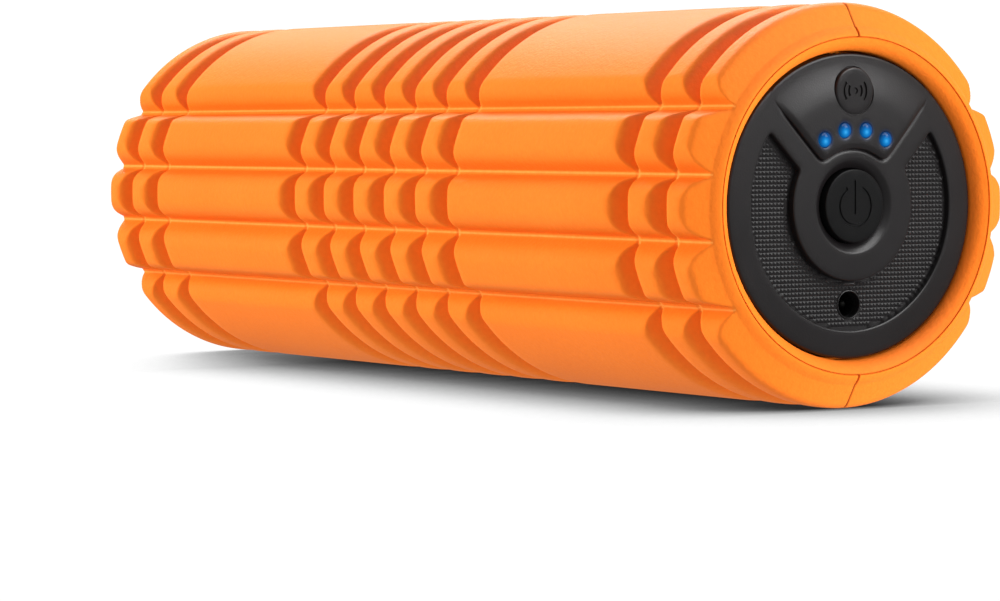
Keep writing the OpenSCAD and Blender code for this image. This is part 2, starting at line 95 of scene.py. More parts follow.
# Foam. A flank of a groove is (shoulder radius, wall slope in degrees, toe radius, half floor).
RING_PITCH = 16.2
RING_DEPTH = 6.0
RING_FLANK = (3.0, 60.0, 0.8, 0.12)
MIDDLE_RINGS = [RING_PITCH * k for k in (-2.5, -1.5, -0.5, 0.5, 1.5, 2.5)]
SCOOP_X = HALF_LEN - 1.7
SCOOP_FLANK = (3.0, 58.0, 0.05, 0.0)
END_RINGS = [SCOOP_X - 14.1, SCOOP_X - 14.1 - 16.4]
SLOT_DEPTH = 5.8
INNER_SLOT = math.radians(10.6)
INNER_FLANKS = [(7.0, 59.0, 0.45, 0.6), (6.3, 60.5, 0.45, 0.25)]
OUTER_SLOT = math.radians(33.8)
OUTER_FLANKS = [(4.5, 46.0, 0.45, 1.0), (5.7, 79.0, 0.45, 0.08)]
CORNER_BLEND = 0.9
LINE_W = 0.34
SEAM_ANGLES = [math.pi / 2, 3 * math.pi / 2]
SEAM_DEPTH = 0.55
SEAM_HALF_W = 0.38
FOAM_BORE_R = TUBE_R + 0.05
FOAM_MOUTH_R = TUBE_R + 0.5
PARTING_R = 41.35
PARTING_DEPTH = 0.4
# Inner slope of the end lip, as (distance in from the end, radius)
LIP_SLOPE = [(0.08, 41.15), (0.28, 40.8), (0.6, 40.2), (1.05, 39.6), (1.65, 39.05), (2.4, 38.55),
             (3.2, 38.2), (4.2, FOAM_MOUTH_R)]

# Lines of the sleeve's grid, as distances from the middle of a groove or a seam
RING_LINES = [0.0, 0.12, 0.4, 0.7, 0.9, 1.1, 1.4, 1.8, 2.3, 2.8, 3.2, 3.6, 4.1, 4.6, 5.2]
SLOT_LINES = [0.0, 0.08, 0.22, 0.35, 0.5, 0.75, 1.0, 1.3, 1.6, 2.0, 2.5, 3.0, 3.5, 4.0, 4.5, 5.0, 5.5,
              6.1, 6.7, 7.3, 7.9]
SEAM_LINES = [-0.42, -0.22, 0.0, 0.22, 0.42]
WIDEST_ALONG = 1.6
WIDEST_ROUND = 1.1
CLOSEST_LINES = 0.07

# Caps
CAP_R = 37.5
CAP_COLLAR_X = HALF_LEN - 9.95
SPIGOT_R = TUBE_R - 2.6
SPIGOT_BORE_R = TUBE_R - 5.1
RIM_X = HALF_LEN - 3.3
RIM_ROUND = 0.7
OPENING_ROUND = 0.45
DOME_H = 1.3
FAN_CORNER = (9.7, 10.9)
FAN_EDGE_TOP = (25.6, 28.1)
FAN_INNER_R = 14.2
FAN_OUTER_R = CAP_R - 1.6
FAN_FADE_R = CAP_R - 1.7
FAN_FADE_W = 10.0
FAN_RISE = 0.9
# Step round the fan panel, as (offset outwards, share of the rise)
FAN_STEP = [(1.4, 0.0), (0.85, 0.0), (0.68, -0.06), (0.32, -0.42), (0.14, -0.46), (0.03, 0.2),
            (-0.12, 0.5), (-0.38, 0.68), (-0.7, 0.84), (-1.1, 0.96), (-1.5, 1.0)]
PLATE_BACK = HALF_LEN - 6.4
RECESS_X = HALF_LEN - 4.1
RECESS_OUT_R = 30.7
RECESS_IN_R = 18.4
RECESS_CORNER = (16.1, 8.95)
RECESS_END_SLOPE = math.radians(47)
BUTTON_R = 9.0
BUTTON_ROUND = 0.3
SYMBOL_R = (4.45, 5.2)              # inner, outer
SYMBOL_HALF_GAP = math.radians(28)
SYMBOL_BAR = (0.32, -2.0, 6.3)      # half width, bottom, top
SYMBOL_DEPTH = 0.3
# Slope of the dish round the button, and of each light's socket, as (radius, depth)
DISH_R = 11.9
DISH_SLOPE = [(DISH_R, 0.0), (11.65, 0.04), (11.4, 0.15), (11.15, 0.32), (9.6, 1.55), (9.4, 1.75),
              (9.3, 1.95)]
LIGHT_CIRCLE_R = 18.8
LIGHT_R = 1.85
LIGHT_DOME = 0.85
LIGHT_ANGLES = [math.radians(a) for a in (60, 80, 100, 120)]
LIGHT_SOCKET = [(2.3, 0.0), (2.12, 0.04), (1.98, 0.16)]
# Lips of the charging hole and the badge, as (offset outwards, depth or height)
JACK_HOLE_R = 3.25
JACK_LIP = [(0.4, 0.3), (0.3, 0.05), (0.12, 0.0), (0.03, 0.1)]
BADGE_Z = 28.2
BADGE_R = 5.7
BADGE_MOAT = [(1.0, 0.0), (0.4, 0.0), (0.22, -0.3), (0.12, -0.3)]
BADGE_EDGE = [(0.0, 0.1), (-0.15, 0.26), (-0.4, 0.32)]
BADGE_TOP = 0.32
GLYPH_FLOOR = -0.05
GRIP_PITCH = 1.1
GRIP_PEAK = 0.06
GRIP_VALLEY = -0.3

# Studio, in metres
WORLD_LIGHT = 0.42
WORLD_SEEN = 1.1
FLOOR_HALF = 30.0
FLOOR_LIGHT = 0.95
FLOOR_SHEEN = 0.3
PAPER_WHITE = 1.06
SHADOW_REACH = 0.062
# The floor's shade as (open sky, level), and its change along X near each end of the roller
SHADOW_STEPS = [(0.0, 0.02), (0.92, 1.0), (0.25, 0.15), (0.5, 0.5), (0.72, 0.88)]
SHADOW_FAR_END = (-0.235, -0.08, 0.75, 0.0)
SHADOW_NEAR_END = (0.11, 0.16, 0.0, -0.1)
# Soft lights: name, place, size, power, and whether matt and glossy surfaces get their light
SOFTBOXES = [("end", (1.85, 1.05, 0.1), (0.9, 0.9), 104.0, True, False),
             ("side", (-1.7, -1.7, 0.3), (1.6, 1.6), 128.0, True, False),
             ("top", (-1.2, 0.7, 1.6), (1.6, 1.2), 80.0, True, True),
             ("sheen", (1.6, 1.05, 0.95), (0.8, 0.7), 18.0, False, True),
             ("crest", (1.2, 0.3, 1.9), (2.0, 1.6), 60.0, False, True)]
CAMERA_AZIMUTH = math.radians(57.07)
CAMERA_ELEVATION = math.radians(1.124)
CAMERA_DISTANCE = 1.0411
CAMERA_AIM = Vector((-0.00733, 0.0, -0.02894))
CAMERA_ROLL = math.radians(-0.264)
CAMERA_LENS = 133.77
CAMERA_SHIFT = (0.00075, -0.0011)


# ---------------------------------------------------------------- mesh helpers

def add_mesh(name, verts, faces, material, sharp_angle=40.0):
    """Makes a smooth-shaded object from vertices in millimetres."""
    mesh = bpy.data.meshes.new(name)
    mesh.from_pydata((np.asarray(verts) * MM).tolist(), [], [list(map(int, f)) for f in faces])
    mesh.validate()
    mesh.polygons.foreach_set("use_smooth", [True] * len(mesh.polygons))
    mesh.set_sharp_from_angle(angle=math.radians(sharp_angle))
    mesh.materials.append(material)
    piece = bpy.data.objects.new(name, mesh)
    bpy.context.scene.collection.objects.link(piece)
    return piece


def join_parts(parts):
    """Joins several (vertices, faces) pairs into one pair."""
    verts, faces, start = [], [], 0
    for part_verts, part_faces in parts:
        verts.append(np.asarray(part_verts, float))
        faces.extend([[start + i for i in face] for face in part_faces])
        start += len(part_verts)
    return np.concatenate(verts), faces


def lathe(profile, segments, centre=(0.0, 0.0)):
    """Turns a closed profile of (x, radius) points about X. The profile runs anticlockwise
    when x points right and the radius points up."""
    angles = np.arange(segments) * 2 * math.pi / segments
    verts = [(x, centre[0] + r * math.cos(a), centre[1] + r * math.sin(a))
             for x, r in profile for a in angles]
    count = len(profile)
    faces = []
    for i in range(count):
        for j in range(segments):
            k = (j + 1) % segments
            n = (i + 1) % count
            faces.append([i * segments + j, i * segments + k, n * segments + k, n * segments + j])
    return verts, faces


def drop_poles(verts, faces):
    """Welds the points that a lathe puts on its axis, and drops the faces that collapse."""
    keys = {}
    remap = []
    kept = []
    for v in verts:
        key = tuple(round(c, 6) for c in v)
        if key not in keys:
            keys[key] = len(kept)
            kept.append(v)
        remap.append(keys[key])
    merged = []
    for face in faces:
        ring = []
        for i in face:
            if remap[i] not in ring:
                ring.append(remap[i])
        if len(ring) > 2:
            merged.append(ring)
    return kept, merged


# ---------------------------------------------------------------- outlines in the YZ plane

def circle(radius, spacing, centre=(0.0, 0.0)):
    count = max(16, int(round(2 * math.pi * radius / spacing)))
    a = np.arange(count) * 2 * math.pi / count
    return np.stack([centre[0] + radius * np.cos(a), centre[1] + radius * np.sin(a)], axis=1)


def arc(radius, start, end, spacing, centre=(0.0, 0.0)):
    count = max(2, int(abs(end - start) * radius / spacing))
    a = np.linspace(start, end, count + 1)
    return np.stack([centre[0] + radius * np.cos(a), centre[1] + radius * np.sin(a)], axis=1)


def resample(points, spacing):
    """Spreads points evenly along a closed outline."""
    closed = np.concatenate([points, points[:1]])
    along = np.concatenate([[0], np.cumsum(np.linalg.norm(np.diff(closed, axis=0), axis=1))])
    count = int(along[-1] / spacing)
    at = np.arange(count) * along[-1] / count
    return np.stack([np.interp(at, along, closed[:, k]) for k in (0, 1)], axis=1)


def rounded(points, spacing, softness):
    """Resamples a closed outline and rounds its corners; softness is about the corner radius."""
    step = 0.2
    fine = resample(points, step)
    for _ in range(int((softness / step) ** 2)):
        fine = (np.roll(fine, 1, axis=0) + 2 * fine + np.roll(fine, -1, axis=0)) / 4
    return resample(fine, spacing)


def grow(outline, distance):
    """Moves a closed anticlockwise outline outwards by a distance."""
    along = np.roll(outline, -1, axis=0) - np.roll(outline, 1, axis=0)
    along /= np.linalg.norm(along, axis=1)[:, None]
    return outline + distance * np.stack([along[:, 1], -along[:, 0]], axis=1)


def within(points, outline):
    """Says which points lie inside a closed outline."""
    y, z = points[:, 0][:, None], points[:, 1][:, None]
    y0, z0 = outline[:, 0][None], outline[:, 1][None]
    y1, z1 = np.roll(outline, -1, axis=0).T[:, None, :]
    crosses = (z0 > z) != (z1 > z)
    reach = y0 + (z - z0) * (y1 - y0) / np.where(z1 == z0, 1e-9, z1 - z0)
    return (np.sum(crosses & (y < reach), axis=1) % 2) == 1


def nearest(points, others):
    """Distance from each point to the nearest of the others, worked out a block at a time."""
    result = np.empty(len(points))
    block = 500
    for start in range(0, len(points), block):
        some = points[start:start + block]
        gaps = ((some[:, None, :] - others[None]) ** 2).sum(axis=2)
        result[start:start + block] = np.sqrt(gaps.min(axis=1))
    return result


def run_out(start, slope, radius, step):
    """Follows a straight line in steps from a point until it is a radius from the centre."""
    reach = 0.0
    while True:
        end = (start[0] + reach * math.cos(slope), start[1] + reach * math.sin(slope))
        if math.hypot(*end) >= radius:
            return end
        reach += step


class Relief:
    """A face seen from the front: closed outlines with heights, triangulated between them."""

    def __init__(self):
        self.points = np.zeros((0, 2))
        self.heights = np.zeros(0)
        self.edges = []

    def loop(self, outline, heights, keep=True):
        """Adds a closed outline, or the points of it to keep. Heights is one number or one per
        point."""
        keep = np.broadcast_to(keep, len(outline))
        index = np.where(keep, len(self.points) + np.cumsum(keep) - 1, -1)
        self.points = np.concatenate([self.points, outline[keep]])
        self.heights = np.concatenate([self.heights, np.broadcast_to(heights, len(outline))[keep]])
        pairs = zip(index.tolist(), np.roll(index, -1).tolist())
        self.edges += [(a, b) for a, b in pairs if a >= 0 and b >= 0]

    def scatter(self, points, heights):
        """Adds loose points between the outlines."""
        self.points = np.concatenate([self.points, points])
        self.heights = np.concatenate([self.heights, np.broadcast_to(heights, len(points))])

    def valleys(self, kept):
        """Joins neighbours of a square field of points that is about to be scattered; kept says
        which of them stay. The joins make the pyramids between them come out alike."""
        index = np.where(kept, len(self.points) + np.cumsum(kept).reshape(kept.shape) - 1, -1)
        for one, other in ((index[:, :-1], index[:, 1:]), (index[:-1], index[1:])):
            both = (one >= 0) & (other >= 0)
            self.edges += list(zip(one[both].tolist(), other[both].tolist()))

    def fill(self, boundary, holes, spacing, height):
        """Scatters points on a triangular grid inside the boundary and outside the holes."""
        reach = np.abs(boundary).max() + spacing
        rows = np.arange(-reach, reach, spacing * math.sqrt(3) / 2)
        grid = np.array([(y + (k % 2) * spacing / 2, z) for k, z in enumerate(rows)
                         for y in np.arange(-reach, reach, spacing)])
        keep = within(grid, boundary)
        for hole in holes:
            keep &= ~within(grid, hole)
        grid = grid[keep]
        grid = grid[nearest(grid, self.points) > 0.6 * spacing]
        self.scatter(grid, height(grid))

    def triangles(self, boundary, holes):
        """Returns the front face's points, heights and triangles. A point where two outlines
        cross takes the height of the nearest point that has one."""
        coords = [Vector(p) for p in self.points.tolist()]
        out, _, faces, origins, _, _ = delaunay_2d_cdt(coords, self.edges, [], 0, 1e-6)
        points = np.array([tuple(v) for v in out])
        heights = np.array([self.heights[o[0]] if o else np.nan for o in origins])
        known = np.nonzero(~np.isnan(heights))[0]
        for i in np.nonzero(np.isnan(heights))[0]:
            gaps = ((points[known] - points[i]) ** 2).sum(axis=1)
            heights[i] = heights[known[gaps.argmin()]]
        faces = np.array([f for f in faces if len(f) == 3])
        middle = points[faces].mean(axis=1)
        keep = within(middle, boundary)
        for hole in holes:
            keep &= ~within(middle, hole)
        return points, heights, faces[keep]

    def solid(self, boundary, holes, back):
        """Returns a closed shell: the relief in front, a flat back and walls at every rim."""
        points, heights, faces = self.triangles(boundary, holes)
        used = np.unique(faces)
        index = np.full(len(points), -1)
        index[used] = np.arange(len(used))
        points, heights, faces = points[used], heights[used], index[faces]
        a, b, c = (points[faces[:, k]] for k in range(3))
        turn = (b[:, 0] - a[:, 0]) * (c[:, 1] - a[:, 1]) - (b[:, 1] - a[:, 1]) * (c[:, 0] - a[:, 0])
        faces[turn < 0] = faces[turn < 0][:, ::-1]
        count = len(points)
        front = np.column_stack([heights, points])
        rear = np.column_stack([np.full(count, back), points])
        directed = dict.fromkeys((f[k], f[(k + 1) % 3]) for f in faces for k in range(3))
        walls = [[b, a, a + count, b + count] for a, b in directed if (b, a) not in directed]
        tris = faces.tolist() + [[f[2] + count, f[1] + count, f[0] + count] for f in faces] + walls
        return np.concatenate([front, rear]), tris


def mirrored_x(part):
    """Turns a solid made for the control end into one for the plain end."""
    verts, faces = part
    verts = np.array(verts, float)
    verts[:, 0] *= -1
    return verts, [list(reversed(f)) for f in faces]


# ---------------------------------------------------------------- materials

class Nodes:
    """A short way to write a material's node tree."""

    def __init__(self, name):
        self.material = bpy.data.materials.new(name)
        self.material.use_nodes = True
        self.tree = self.material.node_tree
        self.shader = self.tree.nodes["Principled BSDF"]
        self.place = self.add("ShaderNodeTexCoord").outputs["Object"]

    def add(self, kind, inputs=(), **settings):
        node = self.tree.nodes.new(kind)
        for key, value in settings.items():
            setattr(node, key, value)
        for key, value in dict(inputs).items():
            self.put(node.inputs[key], value)
        return node

    def put(self, socket, value):
        """Sets an input, or links an output to it."""
        if isinstance(value, bpy.types.NodeSocket):
            self.tree.links.new(value, socket)
        else:
            socket.default_value = value

    def noise(self, scale, detail=3.0, stretch=None):
        vector = self.place
        if stretch:
            vector = self.add("ShaderNodeMapping", {"Vector": vector, "Scale": stretch}).outputs[0]
        return self.add("ShaderNodeTexNoise",
                        {"Vector": vector, "Scale": scale, "Detail": detail}).outputs["Fac"]

    def cells(self, scale, feature="F1"):
        return self.add("ShaderNodeTexVoronoi", {"Vector": self.place, "Scale": scale},
                        feature=feature).outputs["Distance"]

    def math(self, operation, a, b=0.0, clamp=False):
        node = self.add("ShaderNodeMath", operation=operation, use_clamp=clamp)
        self.put(node.inputs[0], a)
        self.put(node.inputs[1], b)
        return node.outputs[0]

    def spread(self, value, low, high, to_low, to_high):
        """Maps low..high to to_low..to_high, with clamping."""
        return self.add("ShaderNodeMapRange", {"Value": value, "From Min": low, "From Max": high,
                                               "To Min": to_low, "To Max": to_high}).outputs[0]

    def ramp(self, value, tones):
        """Maps a value to colours. The tones are (place, colour); the first two are the ends."""
        node = self.add("ShaderNodeValToRGB", {"Fac": value})
        stops = node.color_ramp.elements
        for stop, (place, colour) in zip(list(stops), tones):
            stop.position = place
            stop.color = colour
        for place, colour in tones[2:]:
            stops.new(place).color = colour
        return node.outputs["Color"]

    def mix(self, amount, a, b):
        node = self.add("ShaderNodeMix", data_type="RGBA")
        self.put(node.inputs["Factor"], amount)
        for name, value in (("A", a), ("B", b)):
            socket = [s for s in node.inputs if s.name == name and s.type == "RGBA"][0]
            self.put(socket, value)
        return [s for s in node.outputs if s.type == "RGBA"][0]

    def scaled(self, colour, amount):
        """A colour times an amount."""
        return self.vector("SCALE", "Vector", {0: colour[:3], "Scale": amount})

    def vector(self, operation, output, inputs):
        return self.add("ShaderNodeVectorMath", inputs, operation=operation).outputs[output]

    def bump(self, height, distance, strength=1.0, under=None):
        inputs = {"Height": height, "Distance": distance, "Strength": strength}
        if under is not None:
            inputs["Normal"] = under
        return self.add("ShaderNodeBump", inputs).outputs[0]

    def set(self, **inputs):
        """Sets the shader's inputs; an underscore in a name stands for a space."""
        for key, value in inputs.items():
            self.put(self.shader.inputs[key.replace("_", " ")], value)
        return self.material


def rgb(r, g, b):
    return (r, g, b, 1.0)


CAP_COLOUR = rgb(0.0054, 0.0045, 0.0048)
BUTTON_COLOUR = rgb(0.0032, 0.0032, 0.0033)
NYLON = rgb(0.75, 0.7, 0.6)
FOAM_COLOURS = [rgb(0.79, 0.170, 0.0130), rgb(0.81, 0.186, 0.0160)]
FOAM_DARK = rgb(0.70, 0.129, 0.009)
FOAM_LINE = rgb(0.96, 0.36, 0.07)
# Painted shade for the seams and the parting groove
FOAM_SEAM_SHADE = rgb(0.12, 0.016, 0.004)
LENS_TONES = [(0.03, rgb(0.06, 0.5, 0.95)), (1.0, rgb(0.001, 0.02, 0.08)),
              (0.28, rgb(0.006, 0.25, 0.62)), (0.5, rgb(0.001, 0.12, 0.36)),
              (0.72, rgb(0.001, 0.05, 0.16))]


def foam_material():
    """Closed-cell foam: orange, with a fine leathery skin and slow changes of tone. The "tone"
    attribute is above 0 on the pale lines of the grooves, and below 0 in the seams and the parting
    groove, where it paints shade into these creases."""
    n = Nodes("foam")
    drift = n.spread(n.noise(14.0, 2.0), 0.35, 0.65, 0.0, 1.0)
    colour = n.mix(drift, *FOAM_COLOURS)
    tone = n.add("ShaderNodeAttribute", attribute_name="tone").outputs["Fac"]
    colour = n.mix(n.math("MULTIPLY", tone, 0.8, clamp=True), colour, FOAM_LINE)
    # Painted shade: a tone below 0 darkens the seams and the parting groove
    colour = n.mix(n.math("MULTIPLY", tone, -0.85, clamp=True), colour, FOAM_SEAM_SHADE)
    mottle = n.noise(750.0, 5.0)
    colour = n.mix(n.spread(mottle, 0.3, 0.7, 0.0, 0.3), colour, FOAM_DARK)
    grain = n.cells(1500.0)
    fine = n.noise(3200.0, 2.0)
    skin = n.math("ADD", n.math("MULTIPLY", grain, 0.6), n.math("MULTIPLY", fine, 0.5))
    waves = n.bump(n.noise(90.0, 2.0), 0.0004, 0.25)
    pores = n.bump(mottle, 0.00022, 0.5, under=waves)
    normal = n.bump(skin, 0.00012, 0.4, under=pores)
    rough = n.spread(fine, 0.3, 0.7, 0.5, 0.62)
    return n.set(Base_Color=colour, Roughness=rough, Normal=normal, Specular_IOR_Level=0.08)


def plastic(name, colour, roughness=0.45, grain=2600.0, speckle=0.15, shine=0.5):
    """Moulded plastic with a fine spark-eroded grain and a slight change of tone."""
    n = Nodes(name)
    tone = n.spread(n.noise(55.0, 3.0), 0.3, 0.7, 1.0 - speckle, 1.0 + speckle)
    texture = n.noise(grain, 2.0)
    rough = n.spread(texture, 0.3, 0.7, roughness - 0.06, roughness + 0.06)
    n.set(Base_Color=n.scaled(colour, tone), Roughness=rough, Normal=n.bump(texture, 0.00004, 0.6),
          Specular_IOR_Level=shine)
    return n


def metal(name, colour, roughness=0.3, brush=(1.0, 40.0, 40.0), scale=300.0):
    """Metal with drawn or turned marks along one direction."""
    n = Nodes(name)
    marks = n.noise(scale, 4.0, stretch=brush)
    tone = n.spread(n.noise(120.0, 3.0), 0.3, 0.7, 0.85, 1.1)
    rough = n.spread(marks, 0.3, 0.7, roughness - 0.08, roughness + 0.12)
    return n.set(Base_Color=n.scaled(colour, tone), Metallic=1.0, Roughness=rough,
                 Normal=n.bump(marks, 0.00002, 0.5))


def light_places():
    """Centres of the four lights, as (y, z)."""
    return [(LIGHT_CIRCLE_R * math.cos(a), LIGHT_CIRCLE_R * math.sin(a)) for a in LIGHT_ANGLES]


def cap_material():
    """Charcoal plastic of the control cap, with the lights' blue glow around them."""
    n = plastic("cap_plastic", CAP_COLOUR, 0.36, shine=0.38)
    closest = None
    for y, z in light_places():
        light = (CAP_FACE * MM, y * MM, z * MM)
        gap = n.vector("DISTANCE", "Value", {0: n.place, 1: light})
        closest = gap if closest is None else n.math("MINIMUM", closest, gap)
    glow = n.math("POWER", n.spread(closest, 0.0019, 0.0032, 1.0, 0.0), 2.2)
    return n.set(Emission_Color=rgb(0.02, 0.16, 0.6), Emission_Strength=n.math("MULTIPLY", glow, 0.26))


def lens_material():
    """Clear blue lens: a bright core, seen a little low, and a deep blue rim."""
    n = Nodes("lens_blue")
    core = (0.0, -0.00035, -0.00045)
    offset = n.vector("SUBTRACT", "Vector", {0: n.place, 1: core})
    flat = n.vector("MULTIPLY", "Vector", {0: offset, 1: (0.0, 1.0, 1.0)})
    away = n.vector("LENGTH", "Value", {0: flat})
    shade = n.ramp(n.spread(away, 0.0, 0.0023, 0.0, 1.0), LENS_TONES)
    flicker = n.spread(n.noise(900.0, 2.0), 0.3, 0.7, 0.72, 0.88)
    return n.set(Base_Color=rgb(0.0, 0.02, 0.08), Roughness=0.15, Specular_IOR_Level=0.12,
                 Emission_Color=shade, Emission_Strength=flicker)


# ---------------------------------------------------------------- foam sleeve

def groove(distance, depth, shoulder, slope, toe, floor):
    """Depth of one flank of a groove at a distance from its middle: half a flat floor, a small
    toe radius, a straight wall at a slope (degrees) and a round shoulder."""
    slope = math.radians(slope)
    s, c = math.sin(slope), math.cos(slope)
    wall_w = (depth - (shoulder + toe) * (1 - c)) / math.tan(slope)
    toe_end = floor + toe * s
    wall_end = toe_end + wall_w
    half = wall_end + shoulder * s
    d = np.abs(distance)
    toe_in = np.clip(d - floor, 0, toe * s)
    arc_in = np.clip(half - d, 0, shoulder * s)
    on_toe = depth - (toe - np.sqrt(toe ** 2 - toe_in ** 2))
    on_wall = depth - toe * (1 - c) - (d - toe_end) * math.tan(slope)
    on_arc = shoulder - np.sqrt(shoulder ** 2 - arc_in ** 2)
    return np.where(d < toe_end, on_toe, np.where(d < wall_end, on_wall, on_arc))


def slot_drop(angle):
    """Depth of the lengthwise slots at an angle about the axis. The mould opens along Y, so each
    slot leans towards Y, and its two flanks differ."""
    from_y = np.abs((angle + math.pi / 2) % math.pi - math.pi / 2)
    drops = []
    for middle, (near, far) in ((INNER_SLOT, INNER_FLANKS), (OUTER_SLOT, OUTER_FLANKS)):
        away = (from_y - middle) * FOAM_R
        drops.append(np.where(away < 0, groove(away, SLOT_DEPTH, *near), groove(away, SLOT_DEPTH, *far)))
    return np.maximum(*drops)


def marks(low, high, centres, offsets, widest):
    """Grid lines from low to high: close together around the centres, at most widest apart."""
    lines = [low, high]
    for c in centres:
        lines += [c + side * o for o in offsets for side in (-1, 1) if low < c + side * o < high]
    lines = np.unique(np.round(lines, 4))
    kept = [lines[0]]
    for line in lines[1:]:
        if line - kept[-1] < CLOSEST_LINES:
            continue
        steps = int(math.ceil((line - kept[-1]) / widest))
        kept += list(np.linspace(kept[-1], line, steps + 1)[1:])
    kept[-1] = high
    return np.array(kept)


def lip_profile():
    """End lip from the scoop to the bore, as (x, radius), at the control end. The scoop's wall
    rounds over to the crest, and the parting groove runs round it."""
    start_r, crest_r = FOAM_R - RING_DEPTH, PARTING_R + 0.2
    outer = [(SCOOP_X + (HALF_LEN - SCOOP_X) * (1 - (1 - t) ** 1.5), start_r - (start_r - crest_r) * t)
             for t in np.linspace(0, 1, 12)[1:]]
    parting = [(HALF_LEN - PARTING_DEPTH, PARTING_R + side * 0.05) for side in (1, -1)]
    inner = [(HALF_LEN - down, r) for down, r in LIP_SLOPE]
    mouth = [(CAP_COLLAR_X - 0.2, FOAM_MOUTH_R), (CAP_COLLAR_X - 0.3, FOAM_BORE_R)]
    return outer + parting + inner + mouth


def ring_places():
    """Middles of the ring grooves along X."""
    return MIDDLE_RINGS + [side * x for side in (-1, 1) for x in END_RINGS]


def scoop_places():
    """Where the scoops at the ends reach their full depth."""
    return [-SCOOP_X, SCOOP_X]


def slot_angles():
    """Middles of the lengthwise slots, with those a turn on, so that the far side is covered."""
    return [start + side * a for start in (0.0, math.pi, 2 * math.pi) for side in (-1, 1)
            for a in (INNER_SLOT, OUTER_SLOT)]


def nearest_line(places, lines):
    return np.min([np.abs(places - line) for line in lines], axis=0)


def foam_grid():
    """Grid lines of the sleeve: places along X, and angles."""
    xs = marks(-SCOOP_X, SCOOP_X, ring_places() + scoop_places(), RING_LINES, WIDEST_ALONG)
    slots = [a * FOAM_R for a in slot_angles()]
    turn = marks(0.0, 2 * math.pi * FOAM_R, slots, SLOT_LINES, WIDEST_ROUND)
    seams = [a * FOAM_R + offset for a in SEAM_ANGLES for offset in SEAM_LINES]
    return xs, np.unique(np.round(np.concatenate([turn[:-1], seams]), 4)) / FOAM_R


def groove_drop(xs, phi):
    """Depth of the sleeve's surface on the grid. Where two grooves meet, the edge between them
    is blended."""
    across = np.max([groove(xs - c, RING_DEPTH, *RING_FLANK) for c in ring_places()]
                    + [groove(xs - c, RING_DEPTH, *SCOOP_FLANK) for c in scoop_places()], axis=0)
    along = slot_drop(phi)
    low = np.minimum(across[:, None], along[None])
    high = np.maximum(across[:, None], along[None])
    blend = CORNER_BLEND * np.clip(low / 1.5, 0, 1) + 1e-6
    return high + np.clip(blend - (high - low), 0, None) ** 2 / blend / 4


def pale_lines(xs, phi):
    """How strongly the pale line at the bottom of a groove shows on the grid, from 0 to 1."""
    slots = 1.2 - nearest_line(phi, slot_angles()) * FOAM_R / LINE_W
    rings = 1.2 - nearest_line(xs, ring_places())[:, None] / LINE_W
    return np.maximum(slots, rings).clip(0, 1)


def foam_sleeve(material):
    """The grooved sleeve as one closed grid that follows every groove."""
    xs, phi = foam_grid()
    seam = np.clip(1 - nearest_line(phi, SEAM_ANGLES) * FOAM_R / SEAM_HALF_W, 0, 1)
    radius = FOAM_R - groove_drop(xs, phi) - SEAM_DEPTH * seam[None]
    pale = pale_lines(xs, phi)
    lip = lip_profile()
    verts, tones = [], []

    def add_row(x, r, tone):
        verts.append(np.stack([x, r * np.cos(phi), r * np.sin(phi)], axis=1))
        tones.append(tone)

    def add_lip_row(x, r):
        # The tone goes below 0 in the seam and in the parting groove, to paint shade there
        split = seam * (r > PARTING_R + 0.1)
        parting = 0.6 * (abs(r - PARTING_R) < 0.1)
        add_row(x - np.sign(x) * SEAM_DEPTH * split, r - SEAM_DEPTH * split, -np.maximum(split, parting))

    for x, r in reversed(lip):
        add_lip_row(-x, r)
    # The tone is above 0 on the pale groove lines, and below 0 where shade is painted into the seams
    for x, row_r, row_pale in zip(xs, radius, pale):
        add_row(np.full(len(phi), x), row_r, row_pale - seam)
    for x, r in lip:
        add_lip_row(x, r)
    rows, cols = len(verts), len(phi)
    i, j = np.meshgrid(np.arange(rows), np.arange(cols), indexing="ij")
    n, k = (i + 1) % rows, (j + 1) % cols
    faces = np.stack([i * cols + j, i * cols + k, n * cols + k, n * cols + j], axis=-1)
    piece = add_mesh("foam_sleeve_grooved", np.concatenate(verts), faces.reshape(-1, 4), material, 50.0)
    tone = piece.data.attributes.new("tone", "FLOAT", "POINT")
    tone.data.foreach_set("value", np.concatenate(tones))
    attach(piece, "roller")
    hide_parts("foam_sleeve")


# ---------------------------------------------------------------- caps

def dome(points):
    """Height of the caps' domed face."""
    return RIM_X + DOME_H * (1 - (points ** 2).sum(axis=1) / CAP_R ** 2)


def fan_outline():
    """The raised panel that fans out above the button."""
    rise = math.atan2(FAN_EDGE_TOP[1] - FAN_CORNER[1], FAN_EDGE_TOP[0] - FAN_CORNER[0])
    tip = run_out(FAN_CORNER, rise, FAN_OUTER_R, 0.1)
    a_tip = math.atan2(tip[1], tip[0])
    a_low = math.atan2(FAN_CORNER[1], FAN_CORNER[0])
    points = np.concatenate([
        [FAN_CORNER], arc(FAN_OUTER_R, a_tip, math.pi - a_tip, 0.5),
        arc(FAN_INNER_R, math.pi - a_low, a_low, 0.5)[:-1]])
    return rounded(points, 0.4, 2.0)


def recess_outline():
    """The C-shaped recess around the hub."""
    far = run_out(RECESS_CORNER, RECESS_END_SLOPE, RECESS_OUT_R, 0.05)
    a_far, a_near = math.atan2(far[1], far[0]), math.atan2(RECESS_CORNER[1], RECESS_CORNER[0])
    full = 2 * math.pi
    points = np.concatenate([
        arc(RECESS_OUT_R, math.pi - a_far, full + a_far, 0.5),
        arc(RECESS_IN_R, full + a_near, math.pi - a_near, 0.5)])
    return rounded(points, 0.5, 0.75)


def fan_height(points, amount):
    """Rise of the fan panel, which fades out towards the rim."""
    fade = np.clip((FAN_FADE_R - np.linalg.norm(points, axis=1)) / FAN_FADE_W, 0, 1)
    return FAN_RISE * amount * fade * fade * (3 - 2 * fade)


def face(points, amount=0.0):
    """Height of the control cap's face, with a share of the fan panel's rise."""
    return dome(points) + fan_height(points, amount)


def raised(points):
    """Height of the fan panel's own face."""
    return face(points, 1.0)


